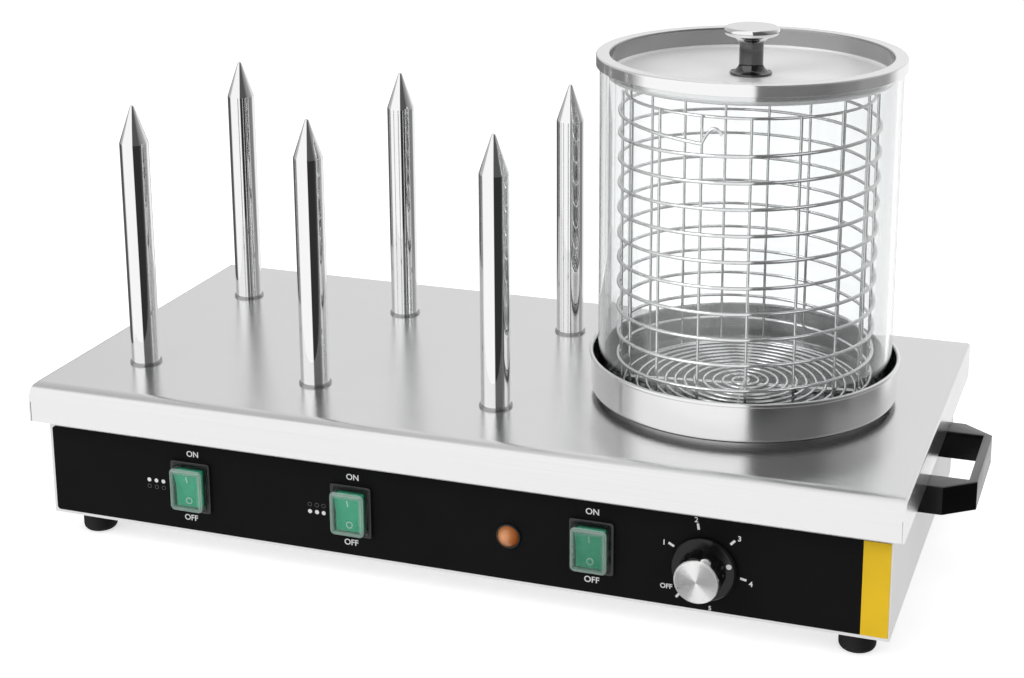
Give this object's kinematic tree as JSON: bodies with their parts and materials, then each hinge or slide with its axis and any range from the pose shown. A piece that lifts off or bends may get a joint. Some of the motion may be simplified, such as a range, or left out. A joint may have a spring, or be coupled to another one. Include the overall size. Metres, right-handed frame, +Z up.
{
  "type": "hot dog warmer",
  "caption": "Countertop hot dog warmer: pointed heated bun spikes stand beside a glass-walled steamer with a wire basket, on a low steel case with rocker switches and a dial.",
  "frame": {"origin": "middle of the machine on the table under its feet", "axes": "+X to the right along the control front, +Y towards the back, +Z up"},
  "size_m": [0.672, 0.3256, 0.3728],
  "materials": {
    "brushed_steel": "satin, brushed along the length",
    "zinc_steel": "zinc plated",
    "fascia_black": "satin printed film",
    "accent_yellow": "satin printed film",
    "handle_black": "moulded satin",
    "foot_rubber": "matt",
    "spike_chrome": "mirror polished",
    "heater_steel": "heat stained",
    "switch_black": "moulded gloss",
    "rocker_green": "translucent moulded",
    "boot_clear": "clear soft moulding",
    "terminal_brass": "bright",
    "lens_amber": "translucent moulded",
    "knob_silver": "circular spun",
    "phenolic": "moulded",
    "polished_steel": "polished",
    "basket_wire": "bright drawn wire",
    "clear_glass": "clear",
    "ivory_plastic": "moulded"
  },
  "bodies": {
    "base": {"base_plate": "zinc_steel", "front_panel": "brushed_steel", "rear_panel": "brushed_steel", "side_panel_left": "brushed_steel", "side_panel_right": "brushed_steel", "top_cover": "brushed_steel", "control_fascia": "fascia_black", "accent_strip": "accent_yellow", "handle_left": "handle_black", "handle_right": "handle_black", "handle_screws": "zinc_steel", "feet": "foot_rubber", "foot_fixings": "zinc_steel", "base_screws": "zinc_steel", "spike_front_left": "spike_chrome", "spike_front_middle": "spike_chrome", "spike_front_right": "spike_chrome", "spike_rear_left": "spike_chrome", "spike_rear_middle": "spike_chrome", "spike_rear_right": "spike_chrome", "spike_collars": "spike_chrome", "spike_nuts": "zinc_steel", "spike_heaters": "heater_steel", "switch_housing_left": "switch_black", "switch_housing_middle": "switch_black", "switch_housing_right": "switch_black", "boot_left": "boot_clear", "boot_middle": "boot_clear", "boot_right": "boot_clear", "switch_terminals": "terminal_brass", "pilot_collar": "switch_black", "pilot_lens": "lens_amber", "pilot_nut": "zinc_steel", "thermostat_body": "phenolic", "pan_seat": "zinc_steel", "water_pan": "polished_steel", "boiler_heater": "heater_steel", "heater_clamp": "zinc_steel", "clamp_fixings": "zinc_steel", "thermal_cutout": "switch_black", "terminal_block": "ivory_plastic", "cable_gland": "handle_black", "gland_nut": "handle_black"},
    "basket": {"basket_helix": "basket_wire", "basket_uprights": "basket_wire", "basket_rim": "basket_wire", "basket_base_ring": "basket_wire", "basket_floor": "basket_wire", "basket_floor_bars": "basket_wire"},
    "glass": {"glass_cylinder": "clear_glass"},
    "lid": {"lid_pan": "polished_steel", "lid_knob": "spike_chrome", "lid_screw": "zinc_steel"},
    "left_rocker_body": {"rocker_left": "rocker_green"},
    "middle_rocker_body": {"rocker_middle": "rocker_green"},
    "right_rocker_body": {"rocker_right": "rocker_green"},
    "dial_knob": {"thermostat_shaft": "zinc_steel", "knob_grip": "switch_black", "knob_cap": "knob_silver"}
  },
  "joints": [
    {"name": "basket_lift", "type": "slide", "parent": "base", "child": "basket", "axis": [0, 0, 1], "range_m": [0, 0.25]},
    {"name": "glass_lift", "type": "slide", "parent": "basket", "child": "glass", "axis": [0, 0, 1], "range_m": [0, 0.25]},
    {"name": "lid_lift", "type": "slide", "parent": "glass", "child": "lid", "axis": [0, 0, 1], "range_m": [0, 0.12]},
    {"name": "left_rocker_tip", "type": "hinge", "parent": "base", "child": "left_rocker_body", "pos_m": [-0.1855, -0.141, 0.0535], "axis": [1, 0, 0], "range_deg": [-16, 0]},
    {"name": "middle_rocker_tip", "type": "hinge", "parent": "base", "child": "middle_rocker_body", "pos_m": [-0.064, -0.141, 0.0535], "axis": [1, 0, 0], "range_deg": [-16, 0]},
    {"name": "right_rocker_tip", "type": "hinge", "parent": "base", "child": "right_rocker_body", "pos_m": [0.1057, -0.141, 0.0535], "axis": [1, 0, 0], "range_deg": [-16, 0]},
    {"name": "dial_turn", "type": "hinge", "parent": "base", "child": "dial_knob", "pos_m": [0.1803, -0.15, 0.0498], "axis": [0, -1, 0], "range_deg": [-98, 215]}
  ]
}
